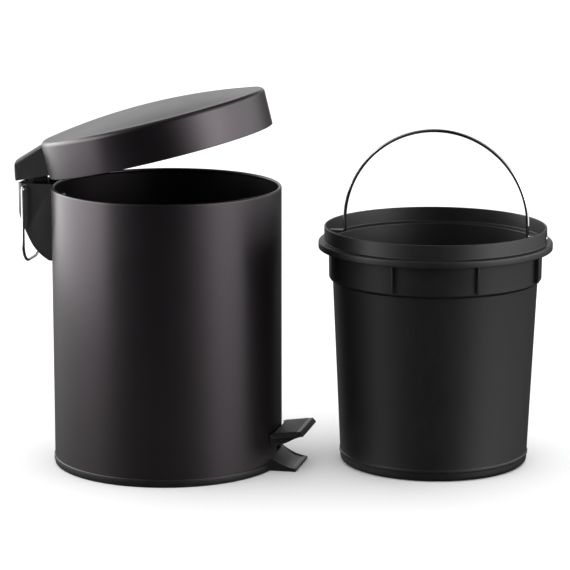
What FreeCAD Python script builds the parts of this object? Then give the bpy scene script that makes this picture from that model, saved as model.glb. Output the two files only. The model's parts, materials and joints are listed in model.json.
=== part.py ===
"""Five-litre round pedal bin with its lift-out bucket standing beside it.

Millimetres, +Z up. The origin is on the floor, on the bin body's axis. The pedal points to -Y and
the lid's hinge is on the +Y side. The lid is stored part-open, and its pieces are drawn closed and
then turned to that angle, so every fit around the hinge is set out in the closed position.
"""
import FreeCAD
import Part
import math
import os

V = FreeCAD.Vector

# Fits
FIXED_GAP = 0.05          # round a piece that is held still
RUNNING_GAP = 0.08        # round a pin or wire that turns
SWING_GAP = 0.5           # between cheeks that pass each other

# Steel body
BODY_R = 102.5
BODY_TOP = 250.0
SHEET = 0.6
RIM_BEAD_R = 1.5

# Base ring, with the fixed foot moulded on its front
RING_H = 7.4
RING_PROUD = 0.8
RING_EDGE = 1.0
RING_SHELF_T = 3.0
RING_SHELF_W = 11.0
SPIGOT_H = 12.0
SPIGOT_WALL = 2.0
FOOT_HALF_W = 24.4
FOOT_REACH = 21.0
FOOT_LIFT = 0.2
FOOT_TIP_T = 2.6
FOOT_ROOT_Z = 12.8

# Raised floor of the body, and the lever's pivot under it
FLOOR_Z = 46.0
FLOOR_T = 1.0
FLOOR_LIP_H = 6.0
PIVOT_Y = -5.0
PIVOT_Z = 24.0
PIVOT_PIN_R = 2.0
PIVOT_EAR_T = 2.0
PIVOT_EAR_R = 6.0
PIVOT_FLANGE_W = 10.0
PIN_HEAD_R = 3.4
PIN_HEAD_T = 1.2
RIVET_HEAD_T = 1.0

# Lid and its travel
LID_R = 101.8
LID_SKIRT_H = 33.6
LID_DOME = 9.0
LID_EDGE_R = 4.0
LID_HEM_H = 5.0
LID_LIFT = 0.8            # lid's lower edge above the body's rim when closed
LID_REST_DEG = 14.0       # stored this far open
LID_TRAVEL_DEG = 75.0     # closed to fully open

# Hinge at the back
HINGE_DROP = 2.4          # below the body's rim
TUBE_R = 2.3
LOOP_WIRE_R = 1.3
BRACKET_HALF_W = 19.5
BRACKET_WALL = 1.8
BRACKET_DEPTH = 30.5      # the hinge is placed from the bracket's back wall
BRACKET_RISE = 0.6
BRACKET_DROP = 69.3
BRACKET_STRAIGHT = 24.0
BRACKET_EDGE_R = 5.0
CAP_WALL = 1.9
CAP_OVERHANG = 0.1        # cap's back beyond the bracket's
CAP_EDGE_R = 4.0
CAP_ROUND = 11.5          # length of the round from the cap's back up to its roof
CAP_REACH = 20.0          # how far the ears hang below the cap, at most
CAP_GAP = 2.6             # cap's lower edge above the bracket's top when closed
CAP_TOP_DROP = 3.4        # cap's roof below the lid's edge, where they meet
CAP_ROOF_RISE = 6.4       # from the roof's rounded back edge up to the lid
EAR_R = 4.5
EAR_T = 2.5
EAR_X = 12.0
EAR_GAP = 0.4             # between the ears and the bracket's back wall
LUG_X = 3.5

# Push rod and pedal lever
ROD_R = 1.5
ROD_INSET = 9.5           # rod's lower leg in from the body's outside
ROD_BEND_DROP = 60.0      # below the body's rim
ROD_BEND_R = 5.0
HOOK_BACK = 11.0          # rod's hook, this far in front of the hinge
HOOK_BEND_R = 2.4
HOOK_PLAY = 0.75
ROD_PLAY = 0.7
WASHER_R = 3.8
WASHER_T = 1.2
LEVER_T = 2.5
LEVER_HALF_W = 7.0
LEVER_KNUCKLE_R = 4.6
LEVER_HOLE_R = 2.4
LEVER_TAIL = 4.5
SLOT_GAP = 0.7

# Pedal pad, at the stored pose
PAD_HALF_W = 27.0
PAD_REACH = 25.1
PAD_REAR_Z = 34.8
PAD_SLOPE = 0.14
PAD_SKIN = 3.0
PAD_SKIRT = 2.1
PAD_WALL_GAP = 1.5
PAD_RIBS = 9
PAD_RIB_PITCH = 2.3
PAD_RIB_W = 1.1
PAD_RIB_H = 0.5

# Screws
SCREW_R = 1.95
SCREW_HEAD_R = 3.5
SCREW_HEAD_T = 2.2
BOSS_R = 3.6
BOSS_L = 9.0
BRACKET_SCREWS = [(10.0, 50.0), (12.5, 19.0)]   # to each side, and below the body's rim
CAP_SCREW_X = 9.5
CAP_SCREW_DROP = 20.0
PLATE_T = 1.2
PLATE_HALF_W = 17.0
PLATE_MARGIN = 6.0
PAD_SCREW_R = 1.5
PAD_SCREW_HEAD_R = 2.8
PAD_SCREW_HEAD_T = 1.6

# Carry loop
LOOP_HALF_W = 24.5
LOOP_DROP = 67.8
LOOP_CORNER_R = 3.0
LOOP_ROUND_R = 15.0
LOOP_END_X = 9.0

# Lift-out bucket
BUCKET_X = 52.0
BUCKET_Y = -234.0
BUCKET_H = 214.0
BUCKET_WALL = 1.7
BUCKET_FOOT_R = 84.0
BUCKET_NECK_R = 91.6
BUCKET_BAND_R = 95.0
BUCKET_BAND_Z = 168.0
BUCKET_CORNER_R = 4.0
COLLAR_R = 99.4
COLLAR_H = 13.0
FLANGE_R = 104.6
FLANGE_T = 2.2
FLANGE_LIP_H = 6.5
FIN_COUNT = 8
FIN_START_DEG = 31.9
FIN_T = 2.0
FIN_R = 99.0
BAIL_WIRE_R = 1.5
BAIL_R = 82.5
BAIL_BEND_R = 2.5
BAIL_LEG = 10.7
BAIL_DROP = 8.0
BAIL_HEAD_R = 2.3
BAIL_HEAD_T = 0.9

# Worked out from the sizes above
BODY_IN = BODY_R - SHEET
BRACKET_BACK = BODY_R + BRACKET_DEPTH
HINGE_Y = BRACKET_BACK - BRACKET_WALL - EAR_GAP - EAR_R
HINGE_Z = BODY_TOP - HINGE_DROP
LID_Z = BODY_TOP + LID_LIFT
LID_EDGE_Z = LID_Z + LID_SKIRT_H
ROD_Y = BODY_R - ROD_INSET
ROD_BEND_Z = BODY_TOP - ROD_BEND_DROP
HOOK_Y = HINGE_Y - HOOK_BACK
ROD_TRAVEL = 2 * HOOK_BACK * math.tan(math.radians(LID_TRAVEL_DEG / 2))
ROD_REST = ROD_TRAVEL * LID_REST_DEG / LID_TRAVEL_DEG
REAR_ARM = ROD_Y - PIVOT_Y
LEVER_TRAVEL = ROD_TRAVEL / REAR_ARM
LEVER_REST = ROD_REST / REAR_ARM
REAR_SLOPE = LEVER_TRAVEL / 2 - LEVER_REST
ROD_FOOT_Z = PIVOT_Z - REAR_ARM * math.tan(REAR_SLOPE)
LUG_SLOT_R = ROD_R + HOOK_PLAY


def box(x0, x1, y0, y1, z0, z1):
    return Part.makeBox(x1 - x0, y1 - y0, z1 - z0, V(x0, y0, z0))


def tube_wall(outer, inner, z0, z1):
    """A round wall about the body's axis."""
    solid = Part.makeCylinder(outer, z1 - z0, V(0, 0, z0))
    return solid.cut(Part.makeCylinder(inner, z1 - z0, V(0, 0, z0)))


def outline(place, start, *steps):
    """A closed face. A step is a point, or two points for an arc through the first to the second."""
    here = place(*start)
    edges = []
    for step in steps:
        if isinstance(step[0], tuple):
            end = place(*step[1])
            edges.append(Part.Arc(here, place(*step[0]), end).toShape())
        else:
            end = place(*step)
            edges.append(Part.LineSegment(here, end).toShape())
        here = end
    edges.append(Part.LineSegment(here, place(*start)).toShape())
    return Part.Face(Part.Wire(edges))


def slab(x0, x1, start, *steps):
    """A side outline in y and z, as thick as x0 to x1."""
    return outline(lambda y, z: V(x0, y, z), start, *steps).extrude(V(x1 - x0, 0, 0))


def turned(start, *steps):
    """An outline in radius and height, spun about the body's axis."""
    return outline(lambda r, z: V(r, 0, z), start, *steps).revolve(V(0, 0, 0), V(0, 0, 1), 360)


def bent_path(points, bend):
    """Straight runs through the points, with a round bend at each corner."""
    edges = []
    here = points[0]
    for before, corner, after in zip(points, points[1:], points[2:]):
        back = (before - corner).normalize()
        ahead = (after - corner).normalize()
        half = back.getAngle(ahead) / 2
        inward = (back + ahead).normalize()
        start = corner + back * (bend / math.tan(half))
        end = corner + ahead * (bend / math.tan(half))
        through = corner + inward * (bend / math.sin(half) - bend)
        edges.append(Part.LineSegment(here, start).toShape())
        edges.append(Part.Arc(start, through, end).toShape())
        here = end
    edges.append(Part.LineSegment(here, points[-1]).toShape())
    return edges


def round_wire(edges, radius):
    """A round wire along a path of joined edges that starts with a straight run."""
    first = edges[0]
    start = first.valueAt(first.FirstParameter)
    ahead = first.tangentAt(first.FirstParameter)
    section = Part.Wire([Part.makeCircle(radius, start, ahead)])
    return Part.Wire(edges).makePipeShell([section], True, False)


def wall_y(radius, x):
    """Where a round wall of this radius lies at x, on the +Y side."""
    return math.sqrt(radius**2 - x**2)


def screw(start, direction, length, radius, head_r, head_t):
    """A pan-head screw: start is under its head, and the shank runs along direction."""
    shank = Part.makeCylinder(radius, length, start, direction)
    head = Part.makeCylinder(head_r, head_t, start - direction * head_t, direction)
    crown = head.makeFillet(head_t * 0.45, [crown_edge(head, start - direction * head_t)])
    return shank.fuse(crown).removeSplitter()


def crown_edge(head, centre):
    """The round edge of a screw head that is furthest from its shank."""
    return min(head.Edges, key=lambda edge: (edge.CenterOfMass - centre).Length)


def body_shell():
    """Powder-coated steel tube, with a rolled rim and slots for the lever and the push rod."""
    shell = tube_wall(BODY_R, BODY_IN, RING_H, BODY_TOP - RIM_BEAD_R)
    bead = Part.makeTorus(BODY_R - RIM_BEAD_R, RIM_BEAD_R, V(0, 0, BODY_TOP - RIM_BEAD_R))
    shell = shell.fuse(bead)
    rod_z = ROD_BEND_Z + BODY_R - ROD_Y
    reach = ROD_R * math.sqrt(2) + 2 * SLOT_GAP
    side = ROD_R + SLOT_GAP
    rear = box(-side, side, BODY_IN - 3, BODY_R + 1, rod_z - ROD_REST - reach,
               rod_z + ROD_TRAVEL - ROD_REST + reach)
    shell = shell.cut(lever_slot()).cut(rear)
    for x, z in bracket_screw_places():
        shell = shell.cut(Part.makeCylinder(SCREW_R + FIXED_GAP, 20, V(x, BODY_IN - 8, z), V(0, 1, 0)))
    return shell


def lever_slot():
    """The window that the lever swings in, through the wall and the base ring's spigot."""
    arm = BODY_R + PIVOT_Y
    middle = lever_height(-BODY_R)
    reach = LEVER_T / 2 + SLOT_GAP
    low = middle - (LEVER_TRAVEL - LEVER_REST) * arm - reach
    high = middle + LEVER_REST * arm + reach
    side = LEVER_HALF_W + SLOT_GAP
    return box(-side, side, -BODY_R - 1, -BODY_IN + SPIGOT_WALL + 1, low, high)


def bracket_screw_places():
    return [(side * x, BODY_TOP - drop) for x, drop in BRACKET_SCREWS for side in (-1, 1)]


def base_ring():
    """Moulded ring that carries the body, with the fixed foot that braces the bin under the pedal."""
    outer = BODY_R + RING_PROUD
    spigot = BODY_IN - FIXED_GAP
    shelf_in = outer - RING_SHELF_W
    inner = spigot - SPIGOT_WALL
    ring = turned((shelf_in, 0), (outer - RING_EDGE, 0), (outer, RING_EDGE), (outer, RING_H - RING_EDGE),
                  (outer - RING_EDGE, RING_H), (spigot, RING_H), (spigot, RING_H + SPIGOT_H),
                  (inner, RING_H + SPIGOT_H), (inner, RING_SHELF_T), (shelf_in, RING_SHELF_T))
    tip = -BODY_R - FOOT_REACH
    top = FOOT_LIFT + FOOT_TIP_T
    root = -BODY_R + 2.5
    foot = slab(-FOOT_HALF_W, FOOT_HALF_W, (root, FOOT_LIFT), (tip + 0.6, FOOT_LIFT),
                ((tip, FOOT_LIFT + FOOT_TIP_T / 2), (tip + 0.6, top)),
                (tip + 3.4, top + 0.7), (tip + 4.2, top + 0.9),
                ((tip + 12.5, top + 3.9), (root, FOOT_ROOT_Z)))
    clear = Part.makeCylinder(BODY_R + FIXED_GAP, FOOT_ROOT_Z + 5, V(0, 0, RING_H))
    foot = foot.cut(clear).cut(Part.makeCylinder(inner, FOOT_ROOT_Z))
    return ring.fuse(foot).cut(lever_slot()).removeSplitter()


def floor_plate():
    """Pressed steel floor, with its lip turned up against the wall and a hole for the rod's bush."""
    edge = BODY_IN - FIXED_GAP
    plate = turned((0, FLOOR_Z), (edge, FLOOR_Z), (edge, FLOOR_Z + FLOOR_LIP_H),
                   (edge - FLOOR_T, FLOOR_Z + FLOOR_LIP_H), (edge - FLOOR_T, FLOOR_Z + FLOOR_T),
                   (0, FLOOR_Z + FLOOR_T))
    plate = plate.cut(Part.makeCylinder(bush_r() + FIXED_GAP, 4, V(0, ROD_Y, FLOOR_Z - 1)))
    for x in rivet_places():
        plate = plate.cut(Part.makeCylinder(SCREW_R, 4, V(x, PIVOT_Y, FLOOR_Z - 1)))
    return plate


def bush_r():
    return ROD_R + 2.0


def rod_bush():
    """Plastic bush that guides the rod through the floor: a collar each side of the plate."""
    low = Part.makeCylinder(bush_r() + 1.5, 2.0, V(0, ROD_Y, FLOOR_Z - 2.0))
    neck = Part.makeCylinder(bush_r(), FLOOR_T + 2.0, V(0, ROD_Y, FLOOR_Z))
    bore = Part.makeCylinder(ROD_R + RUNNING_GAP, 10, V(0, ROD_Y, FLOOR_Z - 4))
    return low.fuse(neck).cut(bore).removeSplitter()


def rivet_places():
    x = pivot_ear_x() + PIVOT_EAR_T + PIVOT_FLANGE_W / 2
    return (-x, x)


def pivot_ear_x():
    return LEVER_HALF_W + SWING_GAP


def pivot_bracket():
    """Bent steel bracket under the floor: two ears for the pin and two flanges for the rivets."""
    near_y = PIVOT_Y - PIVOT_EAR_R
    far_y = PIVOT_Y + PIVOT_EAR_R
    ear_x = pivot_ear_x()
    reach = ear_x + PIVOT_EAR_T + PIVOT_FLANGE_W
    bracket = box(-reach, reach, near_y, far_y, FLOOR_Z - PIVOT_EAR_T, FLOOR_Z)
    for side in (-1, 1):
        low, high = sorted((side * ear_x, side * (ear_x + PIVOT_EAR_T)))
        bracket = bracket.fuse(slab(low, high, (near_y, FLOOR_Z), (near_y, PIVOT_Z),
                                    ((PIVOT_Y, PIVOT_Z - PIVOT_EAR_R), (far_y, PIVOT_Z)),
                                    (far_y, FLOOR_Z)))
    pin = Part.makeCylinder(PIVOT_PIN_R + FIXED_GAP, 60, V(-30, PIVOT_Y, PIVOT_Z), V(1, 0, 0))
    bracket = bracket.cut(pin)
    for x in rivet_places():
        bracket = bracket.cut(Part.makeCylinder(SCREW_R, 8, V(x, PIVOT_Y, FLOOR_Z - 5)))
    return bracket.removeSplitter()


def pivot_rivets():
    """Two rivets that hold the pivot bracket to the floor."""
    rivets = []
    under = FLOOR_Z - PIVOT_EAR_T
    over = FLOOR_Z + FLOOR_T
    for x in rivet_places():
        shank = Part.makeCylinder(SCREW_R - FIXED_GAP, over - under, V(x, PIVOT_Y, under))
        low = Part.makeCylinder(SCREW_HEAD_R, RIVET_HEAD_T, V(x, PIVOT_Y, under - RIVET_HEAD_T))
        high = Part.makeCylinder(SCREW_HEAD_R, RIVET_HEAD_T, V(x, PIVOT_Y, over))
        rivets.append(shank.multiFuse([low, high]).removeSplitter())
    return Part.Compound(rivets)


def pivot_pin():
    """Headed steel pin that the lever turns on."""
    half = pivot_ear_x() + PIVOT_EAR_T + FIXED_GAP
    pin = Part.makeCylinder(PIVOT_PIN_R, 2 * half, V(-half, PIVOT_Y, PIVOT_Z), V(1, 0, 0))
    near = Part.makeCylinder(PIN_HEAD_R, PIN_HEAD_T, V(half, PIVOT_Y, PIVOT_Z), V(1, 0, 0))
    far = Part.makeCylinder(PIN_HEAD_R, PIN_HEAD_T, V(-half - PIN_HEAD_T, PIVOT_Y, PIVOT_Z), V(1, 0, 0))
    return pin.multiFuse([near, far]).removeSplitter()


def along(edge):
    """Which way an edge runs, as a share of its length along each axis."""
    run = edge.tangentAt(edge.FirstParameter)
    return V(abs(run.x), abs(run.y), abs(run.z))


def bracket_side(grow, half_w, top):
    """The hinge bracket's outer form, drawn in by grow (negative) to hollow it."""
    back = BRACKET_BACK + grow
    bottom = BODY_TOP + BRACKET_RISE - BRACKET_DROP - grow
    bend_z = BODY_TOP + BRACKET_RISE - BRACKET_STRAIGHT - grow
    form = slab(-half_w, half_w, (BODY_R - 6, top), (back, top), (back, bend_z),
                ((back - 5.6, bend_z - 15.0), (back - 12.8, bend_z - 30.0)),
                ((back - 19.5, bend_z - 38.5), (BODY_R + 1.5, bottom)), (BODY_R - 6, bottom - 0.3))
    upright = [edge for edge in form.Edges if edge.CenterOfMass.y > back - 0.5 and along(edge).z > 0.99]
    return form.makeFillet(BRACKET_EDGE_R + grow, upright)


def hinge_bracket():
    """Moulded housing on the back of the body, open to the body and at the top."""
    top = BODY_TOP + BRACKET_RISE
    shell = bracket_side(0.0, BRACKET_HALF_W, top)
    shell = shell.cut(bracket_side(-BRACKET_WALL, BRACKET_HALF_W - BRACKET_WALL, top + 5))
    for x, z in bracket_screw_places():
        length = wall_y(BODY_R, x) - 4
        shell = shell.fuse(Part.makeCylinder(BOSS_R, BOSS_L + 4, V(x, length, z), V(0, 1, 0)))
    web = BRACKET_HALF_W - BRACKET_WALL + 0.5
    for x, z in bracket_screw_places():
        low, high = sorted((x, math.copysign(web, x)))
        shell = shell.fuse(box(low, high, BODY_R - 6, BODY_R + BOSS_L - 2, z - 1, z + 1))
    shell = shell.cut(Part.makeCylinder(BODY_R + FIXED_GAP, BODY_TOP + 20))
    for x, z in bracket_screw_places():
        shell = shell.cut(Part.makeCylinder(SCREW_R + FIXED_GAP, 40, V(x, BODY_R - 33, z), V(0, 1, 0)))
    bore = Part.makeCylinder(TUBE_R + FIXED_GAP, 80, V(-40, HINGE_Y, HINGE_Z), V(1, 0, 0))
    return shell.cut(bore).removeSplitter()


def backing_plate():
    """Curved steel plate inside the wall, which the bracket's screws pull up against."""
    low = min(z for _, z in bracket_screw_places()) - PLATE_MARGIN
    high = max(z for _, z in bracket_screw_places()) + PLATE_MARGIN
    outer = BODY_IN - FIXED_GAP
    plate = tube_wall(outer, outer - PLATE_T, low, high)
    plate = plate.common(box(-PLATE_HALF_W, PLATE_HALF_W, 0, BODY_R, low, high))
    side = ROD_R + 2 * SLOT_GAP
    plate = plate.cut(box(-side, side, 0, BODY_R + 5, low - 1, high - PLATE_MARGIN))
    for x, z in bracket_screw_places():
        plate = plate.cut(Part.makeCylinder(SCREW_R + FIXED_GAP, 20, V(x, BODY_IN - 10, z), V(0, 1, 0)))
    return plate


def bracket_screws():
    """Screws from inside the body, through the plate and the wall, into the bracket's bosses."""
    seat_r = BODY_IN - FIXED_GAP - PLATE_T
    screws = []
    for x, z in bracket_screw_places():
        start = V(x, wall_y(seat_r, abs(x) + SCREW_HEAD_R), z)
        length = BODY_R + BOSS_L - 5 - start.y
        screws.append(screw(start, V(0, 1, 0), length, SCREW_R, SCREW_HEAD_R, SCREW_HEAD_T))
    return Part.Compound(screws)


def hinge_tube():
    """Steel tube through the bracket: the lid turns on it, and the carry loop's ends turn in it."""
    length = 2 * BRACKET_HALF_W - 0.4
    start = V(-length / 2, HINGE_Y, HINGE_Z)
    tube = Part.makeCylinder(TUBE_R, length, start, V(1, 0, 0))
    return tube.cut(Part.makeCylinder(LOOP_WIRE_R + RUNNING_GAP, length, start, V(1, 0, 0)))


def opened(shape):
    """A closed lid piece turned to the angle that the lid is stored at."""
    return shape.rotated(V(0, HINGE_Y, HINGE_Z), V(-1, 0, 0), LID_REST_DEG)


def dome_z(radius):
    """Height of the lid's top, a shallow cap of a sphere that ends at the rounded edge."""
    shoulder = LID_R - LID_EDGE_R
    ball = (shoulder**2 + LID_DOME**2) / (2 * LID_DOME)
    return LID_EDGE_Z + LID_DOME - ball + math.sqrt(ball**2 - radius**2)


def lid_shell():
    """Pressed steel lid: a shallow dome, a rounded edge and a hemmed skirt."""
    crown = dome_z(0)
    shoulder = LID_R - LID_EDGE_R
    round_in = LID_EDGE_R * (1 - math.sqrt(0.5))
    shell = turned((LID_R, LID_Z), (LID_R, LID_EDGE_Z - LID_EDGE_R),
                   ((LID_R - round_in, LID_EDGE_Z - round_in), (shoulder, LID_EDGE_Z)),
                   ((shoulder / 2, dome_z(shoulder / 2)), (0, crown)), (0, crown - SHEET),
                   ((shoulder / 2, dome_z(shoulder / 2) - SHEET), (shoulder, LID_EDGE_Z - SHEET)),
                   ((LID_R - SHEET - round_in, LID_EDGE_Z - SHEET - round_in),
                    (LID_R - SHEET, LID_EDGE_Z - LID_EDGE_R)),
                   (LID_R - SHEET, LID_Z + LID_HEM_H), (LID_R - 2 * SHEET, LID_Z + LID_HEM_H),
                   (LID_R - 2 * SHEET, LID_Z))
    for x in (-CAP_SCREW_X, CAP_SCREW_X):
        hole = Part.makeCylinder(SCREW_R + FIXED_GAP, 20, V(x, LID_R - 12, cap_screw_z()), V(0, 1, 0))
        shell = shell.cut(hole)
    return opened(shell)


def cap_screw_z():
    return LID_EDGE_Z - CAP_SCREW_DROP


def round_shouldered(place, half_w, low, high, radius):
    """A face that is square along its low side and has rounded corners at its high side."""
    soft = radius * (1 - math.sqrt(0.5))
    return outline(place, (-half_w, low), (half_w, low), (half_w, high - radius),
                   ((half_w - soft, high - soft), (half_w - radius, high)), (-half_w + radius, high),
                   ((-half_w + soft, high - soft), (-half_w, high - radius)))


def cap_form(grow, half_w, drop):
    """The hinge cap's outer form when closed, drawn in by grow (negative) to hollow it.

    Its side view, its plan and its rear view are extruded and what they share is kept, so that the
    back corners and the roof's side edges are round.
    """
    low = BODY_TOP + BRACKET_RISE + CAP_GAP - drop
    top = LID_EDGE_Z - CAP_TOP_DROP + grow
    shoulder = top - CAP_ROOF_RISE
    back = BRACKET_BACK + CAP_OVERHANG + grow
    crest = back - CAP_ROUND
    front = LID_R - 6
    side = slab(-half_w, half_w, (front, low - 0.6), (back, low + 1.4), (back - 3.6, shoulder - 6.5),
                ((back - 6.2, shoulder - 2.2), (crest, shoulder)), (LID_R, top), (front, top))
    radius = CAP_EDGE_R + grow
    plan = round_shouldered(lambda x, y: V(x, y, low - 5), half_w, front - 1, back, radius)
    slope = CAP_ROOF_RISE / (crest - LID_R)
    crown = shoulder - (back + 1 - crest) * slope
    rear = round_shouldered(lambda x, z: V(x, back + 1, z), half_w, low - CAP_REACH, crown, radius)
    run = back + 2 - front
    side = side.common(plan.extrude(V(0, 0, top - low + 10)))
    return side.common(rear.extrude(V(0, -run, run * slope)))


def hook_in_lid(share):
    """The rod hook's place in the closed lid's frame, at a share of the travel."""
    angle = math.radians(LID_TRAVEL_DEG) * share
    y = -HOOK_BACK
    z = ROD_TRAVEL * (share - 0.5)
    return (HINGE_Y + y * math.cos(angle) - z * math.sin(angle),
            HINGE_Z + y * math.sin(angle) + z * math.cos(angle))


def ear(x0, x1):
    """A plate from the cap's roof down to the hinge tube, kept forward of the bracket's back wall.

    The plate is drawn too tall, and lid_cap() trims it to the roof.
    """
    roof = LID_EDGE_Z
    neck = slab(x0, x1, (HINGE_Y - EAR_R + 0.1, HINGE_Z), (HINGE_Y - 2.9, HINGE_Z + 3.5),
                (HINGE_Y - 6.5, HINGE_Z + 12.0), (HINGE_Y - 8.5, roof), (HINGE_Y - 16.0, roof),
                (HINGE_Y - 12.0, HINGE_Z + 7.0))
    knuckle = Part.makeCylinder(EAR_R, x1 - x0, V(x0, HINGE_Y, HINGE_Z), V(1, 0, 0))
    return neck.fuse(knuckle)


def rod_lug():
    """The middle ear, widened to hold the slot that the push rod's hook works in."""
    y0, z0 = hook_in_lid(0.0)
    y1, z1 = hook_in_lid(0.5)
    rim = LUG_SLOT_R + 2.2
    roof = LID_EDGE_Z
    lug = ear(LUG_X, LUG_X + EAR_T)
    plate = slab(LUG_X, LUG_X + EAR_T, (y0 - rim, z0), (y0, z0),
                 (HINGE_Y - EAR_R * 0.7, HINGE_Z - EAR_R * 0.7), (HINGE_Y - 2.9, HINGE_Z + 3.5),
                 (HINGE_Y - 8.5, roof), (y0 - rim, roof))
    lug = lug.fuse(plate)
    for y, z in ((y0, z0), (y1, z1)):
        lug = lug.fuse(Part.makeCylinder(rim, EAR_T, V(LUG_X, y, z), V(1, 0, 0)))
    slot = slot_between((y0, z0), (y1, z1), LUG_SLOT_R, LUG_X - 1, LUG_X + EAR_T + 1)
    return lug.cut(slot)


def slot_between(first, second, radius, x0, x1):
    """A round-ended cutter between two points in y and z."""
    ends = [Part.makeCylinder(radius, x1 - x0, V(x0, y, z), V(1, 0, 0)) for y, z in (first, second)]
    along = V(0, second[0] - first[0], second[1] - first[1]).normalize()
    side = V(0, -along.z, along.y) * radius
    a = V(x0, *first)
    b = V(x0, *second)
    middle = Part.Face(Part.makePolygon([a + side, b + side, b - side, a - side, a + side]))
    return middle.extrude(V(x1 - x0, 0, 0)).multiFuse(ends)


def lid_cap():
    """Moulded cap screwed to the lid's skirt: it hoods the bracket and carries the lid's ears."""
    half = BRACKET_HALF_W + SWING_GAP + CAP_WALL
    shell = cap_form(0.0, half, 0.0)
    shell = shell.cut(cap_form(-CAP_WALL, half - CAP_WALL, 6.0))
    inner = rod_lug().multiFuse([ear(EAR_X, EAR_X + EAR_T), ear(-EAR_X - EAR_T, -EAR_X)])
    for x in (-CAP_SCREW_X, CAP_SCREW_X):
        boss = Part.makeCylinder(BOSS_R, BOSS_L + 5, V(x, LID_R - 5, cap_screw_z()), V(0, 1, 0))
        web = box(x - 1, x + 1, LID_R - 5, LID_R + BOSS_L, cap_screw_z(), LID_EDGE_Z)
        inner = inner.multiFuse([boss, web])
    shell = shell.fuse(inner.common(cap_form(-CAP_WALL / 2, half - CAP_WALL / 2, CAP_REACH)))
    shell = shell.cut(Part.makeCylinder(LID_R + FIXED_GAP, 80, V(0, 0, LID_Z - 10)))
    for x in (-CAP_SCREW_X, CAP_SCREW_X):
        start = V(x, LID_R - 5, cap_screw_z())
        shell = shell.cut(Part.makeCylinder(SCREW_R + FIXED_GAP, BOSS_L + 3, start, V(0, 1, 0)))
    bore = Part.makeCylinder(TUBE_R + RUNNING_GAP, 80, V(-40, HINGE_Y, HINGE_Z), V(1, 0, 0))
    return opened(shell.cut(bore).removeSplitter())


def cap_screws():
    """Two screws from inside the lid's skirt into the cap."""
    screws = []
    for x in (-CAP_SCREW_X, CAP_SCREW_X):
        start = V(x, wall_y(LID_R - SHEET, abs(x) + SCREW_HEAD_R), cap_screw_z())
        screws.append(screw(start, V(0, 1, 0), BOSS_L - 2, SCREW_R, SCREW_HEAD_R, SCREW_HEAD_T))
    return opened(Part.Compound(screws))


def hook_z():
    return HINGE_Z - ROD_TRAVEL / 2 + ROD_REST


def rod_tip_x():
    return LUG_X + EAR_T + 3.5


def push_rod():
    """Bent wire from the lever's tail, out through the wall, to the hook in the lid's lug."""
    bend_top = ROD_BEND_Z + HOOK_Y - ROD_Y
    foot = ROD_FOOT_Z - LEVER_T / 2 - ROD_PLAY - WASHER_T - 1.5
    run = [V(0, ROD_Y, foot), V(0, ROD_Y, ROD_BEND_Z), V(0, HOOK_Y, bend_top), V(0, HOOK_Y, hook_z() - 10)]
    low = bent_path(run, ROD_BEND_R)
    high = bent_path([run[-1], V(0, HOOK_Y, hook_z()), V(rod_tip_x(), HOOK_Y, hook_z())], HOOK_BEND_R)
    return round_wire(low + high, ROD_R)


def push_on_washer(centre, direction, bore):
    """A push-on washer that grips the rod."""
    outer = Part.makeCylinder(WASHER_R, WASHER_T, centre, direction)
    return outer.cut(Part.makeCylinder(bore, WASHER_T, centre, direction))


def rod_washers():
    """Washers above and below the lever's tail: the upper one lifts the rod."""
    above = V(0, ROD_Y, ROD_FOOT_Z + LEVER_T / 2 + ROD_PLAY)
    below = V(0, ROD_Y, ROD_FOOT_Z - LEVER_T / 2 - ROD_PLAY - WASHER_T)
    return Part.Compound([push_on_washer(place, V(0, 0, 1), ROD_R + 0.02) for place in (above, below)])


def hook_clip():
    """Push-on clip that keeps the hook in the lug."""
    return push_on_washer(V(LUG_X + EAR_T + 1.0, HOOK_Y, hook_z()), V(1, 0, 0), ROD_R + 0.02)


def pad_top(y):
    return PAD_REAR_Z + PAD_SLOPE * (-BODY_R - 3 - y)


def lever_line():
    """Middle line of the steel lever in y and z: it bends at the pad's rear edge, to lie along the pad."""
    tail_y = ROD_Y + LEVER_TAIL
    tail = (tail_y, PIVOT_Z - (tail_y - PIVOT_Y) * math.tan(REAR_SLOPE))
    seat = PAD_SKIN + LEVER_T / 2
    knee_y = -wall_y(BODY_R + PAD_WALL_GAP, LEVER_HALF_W)
    end_y = -BODY_R - PAD_REACH + 6.5
    return [tail, (PIVOT_Y, PIVOT_Z), (knee_y, pad_top(knee_y) - seat), (end_y, pad_top(end_y) - seat)]


def lever_height(y):
    """Height of the lever's middle line between the pivot and the knee."""
    (y0, z0), (y1, z1) = lever_line()[1:3]
    return z0 + (z1 - z0) * (y - y0) / (y1 - y0)


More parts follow.
